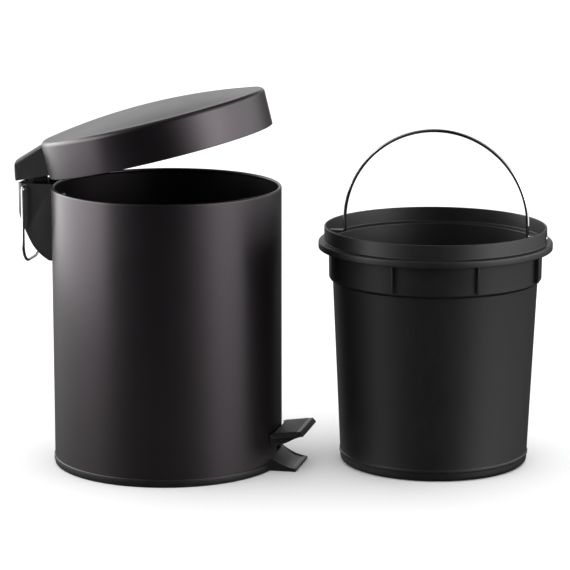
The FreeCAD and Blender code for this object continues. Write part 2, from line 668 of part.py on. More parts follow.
def pedal_lever():
    """Flat steel lever with a welded knuckle for the pin and a hole for the rod."""
    half = LEVER_T / 2
    lever = None
    for (ya, za), (yb, zb) in zip(lever_line(), lever_line()[1:]):
        along = V(0, yb - ya, zb - za).normalize()
        up = V(0, -along.z, along.y) * half
        a = V(-LEVER_HALF_W, ya, za)
        b = V(-LEVER_HALF_W, yb, zb)
        face = Part.Face(Part.makePolygon([a + up, b + up, b - up, a - up, a + up]))
        run = face.extrude(V(2 * LEVER_HALF_W, 0, 0))
        joint = Part.makeCylinder(half, 2 * LEVER_HALF_W, a, V(1, 0, 0))
        lever = run if lever is None else lever.multiFuse([run, joint])
    side = V(-LEVER_HALF_W, PIVOT_Y, PIVOT_Z)
    lever = lever.fuse(Part.makeCylinder(LEVER_KNUCKLE_R, 2 * LEVER_HALF_W, side, V(1, 0, 0)))
    bore = Part.makeCylinder(PIVOT_PIN_R + RUNNING_GAP, 2 * LEVER_HALF_W, side, V(1, 0, 0))
    lever = lever.cut(bore)
    lever = lever.cut(Part.makeCylinder(LEVER_HOLE_R, 20, V(0, ROD_Y, ROD_FOOT_Z - 10)))
    for start, up in pad_screw_places():
        lever = lever.cut(Part.makeCylinder(PAD_SCREW_R + FIXED_GAP, 10, start - up * 5, up))
    return lever.removeSplitter()


def pad_screw_places():
    """Under-head points of the pad's screws on the lever's lower face, and the way they point."""
    up = V(0, PAD_SLOPE, 1).normalize()
    places = []
    for y in (-BODY_R - 6.5, -BODY_R - 14.5):
        middle = V(0, y, pad_top(y) - PAD_SKIN - LEVER_T / 2)
        places.append((middle - up * (LEVER_T / 2), up))
    return places


def pedal_pad():
    """Moulded pad over the lever's end: a ribbed top, a blunt nose and a skirt down each side."""
    tip = -BODY_R - PAD_REACH
    rear = -BODY_R + 8
    top = pad_top(tip)
    outer = slab(-PAD_HALF_W, PAD_HALF_W, (rear, pad_top(rear)), (tip, top),
                 ((tip - 2.6, top - 1.6), (tip - 3.3, top - 3.6)), (tip - 2.6, top - 4.7),
                 (tip - 0.6, top - 5.0), (tip + 5.3, top - 7.1), (tip + 18.0, top - 13.4),
                 (rear, top - 15.4))
    inside = PAD_HALF_W - PAD_SKIRT
    seat = FIXED_GAP - PAD_SKIN
    pocket = slab(-inside, inside, (rear, pad_top(rear) + seat), (tip + 4.0, pad_top(tip + 4.0) + seat),
                  (tip + 4.0, top - 20), (rear, top - 20))
    pad = outer.cut(pocket)
    ribs = []
    for index in range(PAD_RIBS):
        y = tip + 4.4 + index * PAD_RIB_PITCH
        far = y + PAD_RIB_W
        ribs.append(slab(-PAD_HALF_W + 2.0, PAD_HALF_W - 2.0, (y, pad_top(y) - 0.3),
                         (far, pad_top(far) - 0.3), (far, pad_top(far) + PAD_RIB_H),
                         (y, pad_top(y) + PAD_RIB_H)))
    pad = pad.multiFuse(ribs)
    pad = pad.cut(Part.makeCylinder(BODY_R + PAD_WALL_GAP, 100))
    for start, up in pad_screw_places():
        pad = pad.cut(Part.makeCylinder(PAD_SCREW_R + FIXED_GAP, LEVER_T + 2.0, start, up))
    return pad.removeSplitter()


def pad_screws():
    """Two screws from under the lever into the pad."""
    screws = []
    for start, up in pad_screw_places():
        screws.append(screw(start, up, LEVER_T + 1.7, PAD_SCREW_R, PAD_SCREW_HEAD_R, PAD_SCREW_HEAD_T))
    return Part.Compound(screws)


def carry_loop():
    """Hanging wire loop whose ends turn in the hinge tube."""
    low = HINGE_Z - LOOP_DROP
    corner = [V(-LOOP_END_X, HINGE_Y, HINGE_Z), V(-LOOP_HALF_W, HINGE_Y, HINGE_Z),
              V(-LOOP_HALF_W, HINGE_Y, HINGE_Z - 20)]
    left = bent_path(corner, LOOP_CORNER_R)
    sweep = [corner[-1], V(-LOOP_HALF_W, HINGE_Y, low), V(LOOP_HALF_W, HINGE_Y, low),
             V(LOOP_HALF_W, HINGE_Y, HINGE_Z - 20)]
    bottom = bent_path(sweep, LOOP_ROUND_R)
    corner = [sweep[-1], V(LOOP_HALF_W, HINGE_Y, HINGE_Z), V(LOOP_END_X, HINGE_Y, HINGE_Z)]
    right = bent_path(corner, LOOP_CORNER_R)
    return round_wire(left + bottom + right, LOOP_WIRE_R)


def beside(shape):
    """A bucket piece, drawn about the body's axis, moved to where the bucket stands."""
    return shape.translated(V(BUCKET_X, BUCKET_Y, 0))


def inner_bucket():
    """Moulded bucket: a tapered wall, a finned band, a flange that sits on the rim, and a collar."""
    wall = BUCKET_WALL
    flange_z = BUCKET_H - COLLAR_H
    lip_in = FLANGE_R - wall
    corner = BUCKET_CORNER_R
    soft = corner * (1 - math.sqrt(0.5))
    band_top = BUCKET_BAND_R + 0.4
    neck_z = BUCKET_BAND_Z
    bucket = turned((0, 0), (BUCKET_FOOT_R - corner, 0),
                    ((BUCKET_FOOT_R - soft, soft), (BUCKET_FOOT_R, corner)),
                    (BUCKET_FOOT_R + 0.3, 8.0), (BUCKET_FOOT_R + 1.0, 8.4), (BUCKET_FOOT_R + 1.0, 10.0),
                    (BUCKET_FOOT_R + 0.4, 10.4), (BUCKET_NECK_R, neck_z - 1.5), (BUCKET_BAND_R, neck_z),
                    (band_top, flange_z - FLANGE_T), (lip_in, flange_z - FLANGE_T),
                    (lip_in, flange_z - FLANGE_LIP_H), (FLANGE_R, flange_z - FLANGE_LIP_H),
                    (FLANGE_R, flange_z - 0.8), (FLANGE_R - 0.8, flange_z), (COLLAR_R, flange_z),
                    (COLLAR_R, BUCKET_H - 0.9),
                    ((COLLAR_R - 0.9, BUCKET_H), (COLLAR_R - wall, BUCKET_H - 0.9)),
                    (COLLAR_R - wall, flange_z), (band_top - wall, flange_z - 1.5),
                    (BUCKET_BAND_R - wall, neck_z + 1.2), (BUCKET_NECK_R - wall, neck_z - 1.8),
                    (BUCKET_FOOT_R - wall + 0.3, corner + wall), (BUCKET_FOOT_R - wall - 3.0, wall),
                    (0, wall))
    fins = []
    for index in range(FIN_COUNT):
        fin = outline(lambda r, z: V(r, -FIN_T / 2, z), (BUCKET_BAND_R - 0.8, neck_z + 1.0),
                      (FIN_R - 0.8, neck_z + 1.0), (FIN_R, neck_z + 1.8), (FIN_R, flange_z - FLANGE_T),
                      (BUCKET_BAND_R - 0.8, flange_z - FLANGE_T))
        fin = fin.extrude(V(0, FIN_T, 0))
        angle = FIN_START_DEG + index * 360.0 / FIN_COUNT
        fins.append(fin.rotated(V(0, 0, 0), V(0, 0, 1), angle))
    bucket = bucket.multiFuse(fins)
    pivot = V(0, -COLLAR_R - 10, BUCKET_H - BAIL_DROP)
    bucket = bucket.cut(Part.makeCylinder(BAIL_WIRE_R + RUNNING_GAP, 2 * COLLAR_R + 20, pivot, V(0, 1, 0)))
    return beside(bucket)


def bucket_bail():
    """Half-round wire handle on short straight legs, bent out through the collar and headed at each end."""
    z = BUCKET_H - BAIL_DROP
    spring_z = z + BAIL_LEG
    bend = BAIL_BEND_R
    soft = bend * (1 - math.sqrt(0.5))
    end_y = COLLAR_R + FIXED_GAP
    far = [V(0, end_y, z), V(0, BAIL_R + bend, z), V(0, BAIL_R + soft, z + soft), V(0, BAIL_R, z + bend),
           V(0, BAIL_R, spring_z)]
    near = [V(0, -point.y, point.z) for point in far]
    edges = [Part.LineSegment(far[0], far[1]).toShape(), Part.Arc(*far[1:4]).toShape(),
             Part.LineSegment(far[3], far[4]).toShape(),
             Part.Arc(far[4], V(0, 0, spring_z + BAIL_R), near[4]).toShape(),
             Part.LineSegment(near[4], near[3]).toShape(),
             Part.Arc(near[3], near[2], near[1]).toShape(), Part.LineSegment(near[1], near[0]).toShape()]
    bail = round_wire(edges, BAIL_WIRE_R)
    for side in (-1, 1):
        head = Part.makeCylinder(BAIL_HEAD_R, BAIL_HEAD_T, V(0, side * end_y, z), V(0, side, 0))
        bail = bail.fuse(head)
    return beside(bail)


PIECES = [body_shell, base_ring, floor_plate, rod_bush, pivot_bracket, pivot_rivets, pivot_pin,
          hinge_bracket, backing_plate, bracket_screws, hinge_tube, lid_shell, lid_cap, cap_screws,
          push_rod, rod_washers, hook_clip, pedal_lever, pedal_pad, pad_screws, carry_loop,
          inner_bucket, bucket_bail]

os.makedirs("parts", exist_ok=True)
for piece in PIECES:
    shape = piece()
    shape.exportStep(f"parts/{piece.__name__}.step")
    kinds = f"{len(shape.Solids)} solid" if shape.isValid() else "NOT VALID"
    print(f"{piece.__name__:16} {kinds}  {shape.Volume / 1000:8.2f} cm3")
print(f"hinge at y {HINGE_Y:.2f} z {HINGE_Z:.2f}; lever pivot at y {PIVOT_Y:.2f} z {PIVOT_Z:.2f}")
print(f"lid {LID_TRAVEL_DEG:.0f} deg, rod {ROD_TRAVEL:.3f} mm, lever {math.degrees(LEVER_TRAVEL):.3f} deg")
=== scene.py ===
# %% [markdown]
# A pedal bin with its lid part-open and its bucket lifted out beside it. The frame of the object comes from
# the CAD model, so every piece here starts from a size or a place that the frame gives, in metres.

# %% The frame
import bpy
import bmesh
import json
import math
from mathutils import Matrix, Vector


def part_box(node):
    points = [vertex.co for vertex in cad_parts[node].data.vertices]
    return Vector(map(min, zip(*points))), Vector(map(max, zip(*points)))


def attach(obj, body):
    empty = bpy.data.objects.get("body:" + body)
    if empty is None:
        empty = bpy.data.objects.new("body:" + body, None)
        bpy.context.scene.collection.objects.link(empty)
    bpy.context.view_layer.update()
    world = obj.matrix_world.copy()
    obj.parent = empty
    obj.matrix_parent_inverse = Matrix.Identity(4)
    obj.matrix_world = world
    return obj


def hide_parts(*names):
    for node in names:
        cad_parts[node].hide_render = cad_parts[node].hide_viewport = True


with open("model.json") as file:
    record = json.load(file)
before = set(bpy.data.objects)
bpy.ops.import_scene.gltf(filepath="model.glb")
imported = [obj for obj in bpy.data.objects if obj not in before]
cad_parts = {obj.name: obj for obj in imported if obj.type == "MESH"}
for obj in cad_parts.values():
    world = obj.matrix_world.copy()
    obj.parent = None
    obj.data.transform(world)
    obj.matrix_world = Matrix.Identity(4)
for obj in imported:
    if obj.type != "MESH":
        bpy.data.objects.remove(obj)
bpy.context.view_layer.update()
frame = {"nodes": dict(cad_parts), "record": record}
joints = {joint["name"]: joint for joint in frame["record"]["behaviour"]["joints"]}
MM = 0.001

# %% [markdown]
# Most of a bin is round. A lathe turns a drawn outline about an axis, which is how the real spun rim, moulded
# bucket and pressed lid keep their edges crisp all the way round. Each corner of the outline carries its own
# small radius, because no real edge is a knife edge and the radius is what catches the light.

# %% Outlines with rounded corners
ARC_STEPS = 6
LONGEST_CUT = 0.49


def rounded(corners, closed=True):
    """Points along an outline. A corner is (a, b) or (a, b, radius), in millimetres."""
    points = []
    count = len(corners)
    for index, corner in enumerate(corners):
        here = Vector(corner[:2])
        radius = corner[2] if len(corner) > 2 else 0.0
        if radius == 0.0 or (not closed and index in (0, count - 1)):
            points.append(here)
            continue
        back = Vector(corners[index - 1][:2]) - here
        ahead = Vector(corners[(index + 1) % count][:2]) - here
        half = back.angle(ahead) / 2
        reach = min(radius / math.tan(half), back.length * LONGEST_CUT, ahead.length * LONGEST_CUT)
        centre = here + (back.normalized() + ahead.normalized()).normalized() * (reach / math.cos(half))
        first = here + back.normalized() * reach - centre
        last = here + ahead.normalized() * reach - centre
        turn = first.angle_signed(last)
        for step in range(ARC_STEPS + 1):
            points.append(centre + Matrix.Rotation(-turn * step / ARC_STEPS, 2) @ first)
    return points


def circle_arc(a, b, radius, start_deg, end_deg, steps):
    """Points on part of a circle, in the outline's plane."""
    angles = [math.radians(start_deg + (end_deg - start_deg) * i / steps) for i in range(steps + 1)]
    return [Vector((a + radius * math.cos(t), b + radius * math.sin(t))) for t in angles]


# %% A mesh object, a lathe and a loft
SHARP_DEG = 35.0
WELD = 1e-7


def mesh_object(name, vertices, faces, sharp_deg=SHARP_DEG):
    mesh = bpy.data.meshes.new(name)
    mesh.from_pydata([tuple(v) for v in vertices], [], faces)
    work = bmesh.new()
    work.from_mesh(mesh)
    bmesh.ops.remove_doubles(work, verts=work.verts, dist=WELD)
    bmesh.ops.recalc_face_normals(work, faces=work.faces)
    work.to_mesh(mesh)
    work.free()
    mesh.shade_smooth()
    mesh.set_sharp_from_angle(angle=math.radians(sharp_deg))
    piece = bpy.data.objects.new(name, mesh)
    bpy.context.scene.collection.objects.link(piece)
    return piece


def lathe(name, outline, segments=288):
    """Turns a closed outline of (radius, height) in millimetres about the vertical axis."""
    vertices = []
    for step in range(segments):
        turn = 2 * math.pi * step / segments
        vertices += [Vector((p.x * math.cos(turn), p.x * math.sin(turn), p.y)) * MM for p in outline]
    count = len(outline)
    faces = []
    for step in range(segments):
        one, two = step * count, ((step + 1) % segments) * count
        for i in range(count):
            j = (i + 1) % count
            faces.append((one + i, two + i, two + j, one + j))
    return mesh_object(name, vertices, faces)


def loft(name, sections, sharp_deg=SHARP_DEG):
    """Skins a row of closed sections, each a list of (x, y, z) in millimetres, and caps both ends."""
    count = len(sections[0])
    vertices = [Vector(p) * MM for section in sections for p in section]
    faces = []
    for row in range(len(sections) - 1):
        for i in range(count):
            j = (i + 1) % count
            a, b = row * count, (row + 1) * count
            faces.append((a + i, a + j, b + j, b + i))
    faces.append(tuple(range(count)))
    faces.append(tuple(range((len(sections) - 1) * count, len(sections) * count))[::-1])
    return mesh_object(name, vertices, faces, sharp_deg)


def block(name, low, high):
    """A plain cutter between two corners, in millimetres."""
    corners = [(low[1], low[2]), (high[1], low[2]), (high[1], high[2]), (low[1], high[2])]
    return loft(name, [[(x, y, z) for y, z in corners] for x in (low[0], high[0])])


def carve(piece, cutter, operation="DIFFERENCE"):
    """Cuts with, or joins on, another mesh, which is then thrown away."""
    change = piece.modifiers.new("carve", "BOOLEAN")
    change.operation = operation
    change.solver = "EXACT"
    change.object = cutter
    bpy.context.view_layer.update()
    evaluated = piece.evaluated_get(bpy.context.evaluated_depsgraph_get())
    result = bpy.data.meshes.new_from_object(evaluated)
    piece.modifiers.remove(change)
    piece.data = result
    bpy.data.objects.remove(cutter)
    result.shade_smooth()
    result.set_sharp_from_angle(angle=math.radians(SHARP_DEG))


placed = []


def place(piece, body, slot, *nodes):
    """Puts a piece on its body, names its finish and says which CAD nodes it stands for."""
    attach(piece, body)
    placed.append((piece, slot))
    if nodes:
        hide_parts(*nodes)
    print(f"{piece.name}: {len(piece.data.polygons)} faces on {body}")


# %% [markdown]
# The body is a tube of coated sheet whose top edge is curled inwards over nothing, a rolled rim. The curl is a
# real curve in the outline, not a bevel, so the bright line that runs round the rim comes from its shape.

# %% The body
low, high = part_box("body_shell")
BODY_R = high.x / MM
BODY_LOW = low.z / MM
BODY_TOP = high.z / MM
SHEET = 0.6
CURL_R = 1.5
CURL_DEG = 300
CURL_DEPTH = 2.6 * CURL_R
LEVER_SLOT = (7.7, 14.6, 35.3)
ROD_SLOT = (2.2, 192.8, 216.8)
CUT_INSIDE = 6
CUT_OUTSIDE = 2


def wall_slot(opening, y_low, y_high):
    """A cutter for an opening in the wall, given as (half width, bottom, top)."""
    half, bottom, top = opening
    return block("cut", (-half, y_low, bottom), (half, y_high, top))


curl = circle_arc(BODY_R - CURL_R, BODY_TOP - CURL_R, CURL_R, 0, CURL_DEG, 20)
inner_wall = [Vector((BODY_R - SHEET, BODY_TOP - CURL_DEPTH)), Vector((BODY_R - SHEET, BODY_LOW))]
body = lathe("body", [Vector((BODY_R, BODY_LOW)), *curl, *inner_wall])
carve(body, wall_slot(LEVER_SLOT, -BODY_R - CUT_OUTSIDE, -BODY_R + CUT_INSIDE))
carve(body, wall_slot(ROD_SLOT, BODY_R - CUT_INSIDE, BODY_R + CUT_OUTSIDE))
place(body, "bin", "coated_steel", "body_shell")

# %% [markdown]
# The black ring under the body is moulded in one piece with a foot that sticks out below the pedal and keeps
# the bin from tipping. Its top sags between wall and tip and is dished inside a narrow border. It is skinned
# over a row of side views, so the dish, the border and the curve along the round wall are all real.

# %% The base ring and its foot
low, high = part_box("base_ring")
FACET_GAP = 0.03
RING_R = high.x / MM - FACET_GAP
RING_SHELF = 11
RING_FLOOR = 3.0
RING_GROOVE = 1.1
SPIGOT_R = BODY_R - SHEET - 0.1
SPIGOT_T = 2.0
SPIGOT_H = 12
FOOT_TIP = low.y / MM
FOOT_HALF = 24.4
FOOT_UNDER = 0.2
FOOT_ROOT_Z = 12.8
FOOT_EDGE_Z = 2.8
FOOT_SAG = 2.0
FOOT_WALL_GAP = 0.06
FOOT_STEPS = 26
FOOT_NOSE_LOW = [(1.0, 0.0), (0.3, 0.3), (0.0, 0.9)]
FOOT_NOSE_HIGH = [(0.0, 0.8), (0.3, 0.2), (0.9, 0.0)]
FOOT_NOSE = 1.2
DISH = 0.8
DISH_START = 0.15
BORDER = 2.2
BORDER_SLOPE = 1.0
BORDER_STEP = 0.8
SOFT_EDGE = 0.7

ring = lathe("base_ring_visual", rounded([
    (RING_R - RING_SHELF, 0, 0.4), (RING_R - 0.8, 0, 0.8), (RING_R, RING_FLOOR), (RING_R, BODY_LOW - 0.2, 0.9),
    (RING_R - RING_GROOVE, BODY_LOW), (SPIGOT_R, BODY_LOW), (SPIGOT_R, BODY_LOW + SPIGOT_H, 0.4),
    (SPIGOT_R - SPIGOT_T, BODY_LOW + SPIGOT_H, 0.4), (SPIGOT_R - SPIGOT_T, RING_FLOOR, 0.6),
    (RING_R - RING_SHELF, RING_FLOOR, 0.4)]))
carve(ring, wall_slot(LEVER_SLOT, -BODY_R - 0.3, -BODY_R + CUT_INSIDE))
place(ring, "bin", "black_polypropylene", "base_ring")


def wall_y(x, radius):
    """How far forward a round wall stands at x."""
    return -math.sqrt(radius**2 - x**2)


def share_of(value, whole):
    """How much of a whole a value makes, kept between 0 and 1."""
    return min(1.0, max(0.0, value / whole))


def foot_side(x):
    """The foot's side view at x: underside, blunt tip, border, dished top."""
    edge = FOOT_HALF - abs(x)
    inset = SOFT_EDGE * max(0.0, 1 - edge / SOFT_EDGE) ** 2
    rear = wall_y(x, BODY_R + FOOT_WALL_GAP)
    tip = FOOT_TIP + inset
    inside = share_of(edge - BORDER, BORDER_SLOPE)
    points = [(rear, FOOT_UNDER + inset)]
    points += [(tip + back, FOOT_UNDER + inset + up) for back, up in FOOT_NOSE_LOW]
    points += [(tip + back, FOOT_EDGE_Z - inset - down) for back, down in FOOT_NOSE_HIGH]
    for step in range(FOOT_STEPS + 1):
        share = step / FOOT_STEPS
        y = tip + FOOT_NOSE + (rear - tip - FOOT_NOSE) * share
        rise = FOOT_EDGE_Z + (FOOT_ROOT_Z - FOOT_EDGE_Z) * share
        sag = FOOT_SAG * math.sin(math.pi * share)
        front = share_of(y - FOOT_TIP - BORDER - BORDER_STEP, BORDER_STEP)
        dish = DISH * inside * front * math.sin(math.pi * (DISH_START + (1 - DISH_START) * share))
        points.append((y, rise - inset - sag - dish))
    return [(x, y, z) for y, z in points]


def stations(half_width, edges=6, steps_in=(), middle=18):
    """Positions across a piece, close together near its rounded edges and at each named step."""
    places = {round(half_width - SOFT_EDGE * (i / edges) ** 1.5, 3) for i in range(edges + 1)}
    for step in steps_in:
        places |= {round(half_width - step - k, 3) for k in (-0.01, 0.35, 0.7, 1.05)}
    places |= {round((half_width - 1.6) * i / middle, 3) for i in range(middle)}
    return sorted({-p for p in places} | places)


foot = loft("base_foot", [foot_side(x) for x in stations(FOOT_HALF, steps_in=(BORDER,))])
place(foot, "bin", "black_polypropylene", "base_ring")

# %% [markdown]
# The lid is one pressing: a shallow domed crown, a soft edge, and a skirt hemmed at the bottom. It is drawn
# shut, where its outline is simple, then swung about the hinge to the angle that the object is stored at.

# %% The lid
LID_REST = math.radians(14.0)
LID_R = 101.8
LID_Z = BODY_TOP + 0.8
LID_EDGE_Z = LID_Z + 33.6
LID_DOME = 9.0
LID_EDGE_R = 4.0
SHOULDER_R = LID_R - LID_EDGE_R
HEM_TOP = 5.0
CROWN_STEPS = 14
hinge = Vector(joints["lid_hinge"]["pos_m"])
swing = Matrix.Translation(hinge) @ Matrix.Rotation(-LID_REST, 4, "X") @ Matrix.Translation(-hinge)


def opened(piece):
    """Swings a piece that was drawn shut to the stored angle."""
    piece.data.transform(swing)
    return piece


def dome_z(radius):
    """Height of the crown, a shallow cap of a sphere."""
    ball = (SHOULDER_R**2 + LID_DOME**2) / (2 * LID_DOME)
    return LID_EDGE_Z + LID_DOME - ball + math.sqrt(ball**2 - radius**2)


edge_centre = (SHOULDER_R, LID_EDGE_Z - LID_EDGE_R)
crown_radii = [SHOULDER_R * (1 - i / CROWN_STEPS) for i in range(CROWN_STEPS + 1)]
outside = [Vector((LID_R, LID_Z + 0.5)), *circle_arc(*edge_centre, LID_EDGE_R, 0, 90, 12)]
outside += [Vector((r, dome_z(r))) for r in crown_radii[1:]]
inside = [Vector((r, dome_z(r) - SHEET)) for r in crown_radii[::-1]]
inside += circle_arc(*edge_centre, LID_EDGE_R - SHEET, 90, 0, 12)[1:]
inside += [Vector((LID_R - SHEET, LID_Z + HEM_TOP + 0.2)), Vector((LID_R - 2 * SHEET, LID_Z + HEM_TOP))]
hem = circle_arc(LID_R - SHEET, LID_Z + SHEET, SHEET, 180, 360, 8)
lid = opened(lathe("lid", outside + inside + hem))
place(lid, "lid", "coated_steel", "lid_shell")

# %% [markdown]
# The pedal's pad is a ribbed moulding pushed over the end of a steel lever. Its ribs are what a foot grips, and
# they are fine, about one to every two millimetres, so they are modelled as real ridges along each side view.
# The plate overhangs a narrower wedge, which leaves the thin shadow line along its side.

# %% The pedal's pad
low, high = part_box("pedal_pad")
NOSE_REACH = 3.3
PAD_TIP = low.y / MM + NOSE_REACH
PAD_HALF = high.x / MM
PAD_SLOPE = 0.14
PAD_REAR_Z = 34.8
PAD_PLATE = 4.7
PAD_WALL_GAP = 1.6
PAD_EDGE = 0.6
NOSE = [(-0.25, -0.05, 0, -1), (-0.5, -0.25, 0, -1), (-2.9, -2.9, 1, 0), (-3.2, -3.6, 1, 0),
        (-2.6, -4.6, 1, 0.3), (-0.6, -4.9, 0, 0.3)]
WEDGE = [(2.0, -5.8), (5.3, -7.1), (11.0, -10.2), (18.0, -13.4)]
WEDGE_REAR = -14.1
WEDGE_STEP = 0.35
TOP_STEPS = 150
SMOOTH_STRIP = 4.0
RIB_PITCH = 2.3
RIB_RISE = 0.5
RIB_GROOVE = 0.9
RIBS = 9
RIB_FLAT = 1.35
RIB_END = 0.9
PAD_OVERHANG = 1.0
PAD_SKIRT = 2.1
POCKET_TOP = 2.95
POCKET_LOW = 12.0


def pad_top(y):
    """Height of the pad's top at y, before its ribs."""
    return PAD_REAR_Z + PAD_SLOPE * (-BODY_R - 3 - y)


def rib(y):
    """Height of the ribs at y: a row of flat-topped ridges behind a smooth strip at the tip."""
    along = (y - PAD_TIP - SMOOTH_STRIP) / RIB_PITCH
    if along < 0 or along > RIBS:
        return 0.0
    wave = min(1.0, RIB_FLAT * math.sin(math.pi * (along % 1.0)))
    return (RIB_RISE + RIB_GROOVE) * wave - RIB_GROOVE


def pad_side(x):
    """The pad's side view at x: blunt nose, the plate's underside or the wedge below it, ribbed top.
    The nose is rows of (y, z, and how far each moves with the inset)."""
    edge = PAD_HALF - abs(x)
    inset = PAD_EDGE * max(0.0, 1 - edge / SOFT_EDGE) ** 2
    rear = wall_y(x, BODY_R + PAD_WALL_GAP)
    tip_z = pad_top(PAD_TIP)
    full = share_of(edge - PAD_OVERHANG, WEDGE_STEP)
    points = [(PAD_TIP + y + inset * move_y, tip_z + z + inset * move_z) for y, z, move_y, move_z in NOSE]
    for y, z in [*[(PAD_TIP + back, drop) for back, drop in WEDGE], (rear, WEDGE_REAR)]:
        under = pad_top(y) - PAD_PLATE + inset * 0.3
        points.append((y, under + (tip_z + z - under) * full))
    for step in range(TOP_STEPS + 1):
        y = rear + (PAD_TIP - rear) * step / TOP_STEPS
        points.append((y, pad_top(y) + rib(y) * (1 - max(0.0, 1 - edge / RIB_END)) - inset))
    return [(x, y, z) for y, z in points]


pad_rows = [pad_side(x) for x in stations(PAD_HALF, steps_in=(PAD_OVERHANG,))]
pad = loft("pedal_pad_visual", pad_rows, sharp_deg=50.0)
pocket_half = PAD_HALF - PAD_SKIRT
pocket_rear, pocket_front = -BODY_R + 12, PAD_TIP + 4.0
pocket = [(pocket_rear, pad_top(pocket_rear) - POCKET_TOP), (pocket_front, pad_top(pocket_front) - POCKET_TOP),
          (pocket_front, POCKET_LOW), (pocket_rear, POCKET_LOW)]
carve(pad, loft("cut", [[(x, y, z) for y, z in pocket] for x in (-pocket_half, pocket_half)]))
place(pad, "pedal", "black_polypropylene", "pedal_pad")

# %% [markdown]
# The bucket is a thin moulding that hangs in the body by its flange. Below the flange a wider band carries
# eight thin fins that centre it in the tube, then the wall steps in and tapers, so that buckets nest and leave
# the mould. A lathe makes the turned part and the fins are set round it by a loop.

# %% The bucket
low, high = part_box("inner_bucket")
BUCKET = Vector(((low.x + high.x) / 2, (low.y + high.y) / 2, 0))
BUCKET_H = high.z / MM
FLANGE_R = (high.x - low.x) / 2 / MM
WALL = 1.7
COLLAR_R = 99.4
FLANGE_Z = BUCKET_H - 13.0
FLANGE_LIP = 6.5
FLANGE_T = 2.2
BAND_R = 95.0
BAND_TOP_R = BAND_R + 0.4
BAND_Z = 168.0
NECK_R = 91.6
FOOT_R = 84.0
FOOT_BEAD_R = FOOT_R + 1.0
FOOT_SHELF = 9
FIN_R = 99.0
FIN_T = 2.0
FIN_COUNT = 8
FIN_START = 31.9
FIN_SOFT = 0.35
FIN_ROOT_R = BAND_R - 0.8
FIN_LOW = BAND_Z + 1.5
FIN_HIGH = FLANGE_Z - 2.0

outer_wall = [
    (0, 0.8), (FOOT_R - FOOT_SHELF, 0.8, 0.8), (FOOT_R - FOOT_SHELF - 0.8, 0.0, 0.4), (FOOT_R, 0, 4.0),
    (FOOT_R + 0.3, 7.6, 0.4), (FOOT_BEAD_R, 8.4, 0.4), (FOOT_BEAD_R, 10.0, 0.4), (FOOT_R + 0.4, 10.8, 0.4),
    (NECK_R, BAND_Z - 2.0, 1.2), (BAND_R, BAND_Z, 1.4), (BAND_TOP_R, FLANGE_Z - FLANGE_T, 0.7),
    (FLANGE_R - WALL, FLANGE_Z - FLANGE_T, 0.5), (FLANGE_R - WALL, FLANGE_Z - FLANGE_LIP, 0.5),
    (FLANGE_R, FLANGE_Z - FLANGE_LIP, 0.6), (FLANGE_R, FLANGE_Z, 1.8), (COLLAR_R, FLANGE_Z, 1.0),
    (COLLAR_R, BUCKET_H, 0.9)]
inner_wall = [
    (COLLAR_R - WALL, BUCKET_H, 0.7), (COLLAR_R - WALL, FLANGE_Z, 1.0),
    (BAND_TOP_R - WALL, FLANGE_Z - 1.5, 0.8), (BAND_R - WALL, BAND_Z + 1.2, 1.0),
    (NECK_R - WALL, BAND_Z - 1.8, 1.4), (FOOT_R - WALL, WALL, 3.6), (0, WALL)]
bucket = lathe("bucket", rounded(outer_wall + inner_wall))


def fin_outline(across):
    """A fin's shape in radius and height, drawn in a little towards its faces."""
    inset = FIN_SOFT * across
    return [(FIN_ROOT_R, FIN_LOW + inset), (FIN_R - 1.4, FIN_LOW + inset), (FIN_R - 0.4 - inset, BAND_Z + 2.1),
            (FIN_R - inset, BAND_Z + 3.3), (FIN_R - inset, FIN_HIGH), (FIN_ROOT_R, FIN_HIGH)]


fin_rows = [(-FIN_T / 2, 1.0), (-FIN_T / 2 + FIN_SOFT, 0.0), (FIN_T / 2 - FIN_SOFT, 0.0), (FIN_T / 2, 1.0)]
for index in range(FIN_COUNT):
    fin = loft("cut", [[(r, y, z) for r, z in fin_outline(across)] for y, across in fin_rows])
    fin.data.transform(Matrix.Rotation(math.radians(FIN_START + 360 / FIN_COUNT * index), 4, "Z"))
    carve(bucket, fin, "UNION")

BAIL_Z = BUCKET_H - 8.0
BAIL_HOLE_R = 1.7
BOSS_HALF = 4.2
BOSS_ROWS = [(COLLAR_R - 1.2, 0.0), (COLLAR_R + 0.25, 0.0), (COLLAR_R + 0.5, 0.35)]
for side in (-1, 1):
    sections = []
    for reach, inset in BOSS_ROWS:
        size = BOSS_HALF - inset
        square = ((-size, -size), (size, -size), (size, size), (-size, size))
        sections.append([(x, side * reach, BAIL_Z + z) for x, z in square])
    carve(bucket, loft("cut", sections), "UNION")
hole_turns = [2 * math.pi * i / 24 for i in range(24)]
hole = [[(BAIL_HOLE_R * math.cos(t), y, BAIL_Z + BAIL_HOLE_R * math.sin(t)) for t in hole_turns]
        for y in (-FLANGE_R, FLANGE_R)]
carve(bucket, loft("cut", hole))
bucket.data.transform(Matrix.Translation(BUCKET))
place(bucket, "bucket", "bucket_polypropylene", "inner_bucket")

# %% [markdown]
# The bail and the carry loop are bent from round wire. The path is worked out from the same bends that a wire
# former would set, and a ring of the wire's own radius is carried along it, square to the path at every step.

# %% Wire
BAIL_WIRE_R = 1.5
BAIL_R = 82.5
BAIL_BEND = 2.5
BAIL_LEG = 10.7
LOOP_WIRE_R = 1.3
LOOP_HALF = 24.5
LOOP_DROP = 67.8
LOOP_BEND = 3.0
LOOP_ROUND = 15.0
LOOP_END = 9.0
WIRE_SIDES = 28
HEAD = [(0, 0.9), (1.9, 0.9, 0.4), (2.25, 0.5), (2.25, 0.1, 0.1), (0, 0.1)]


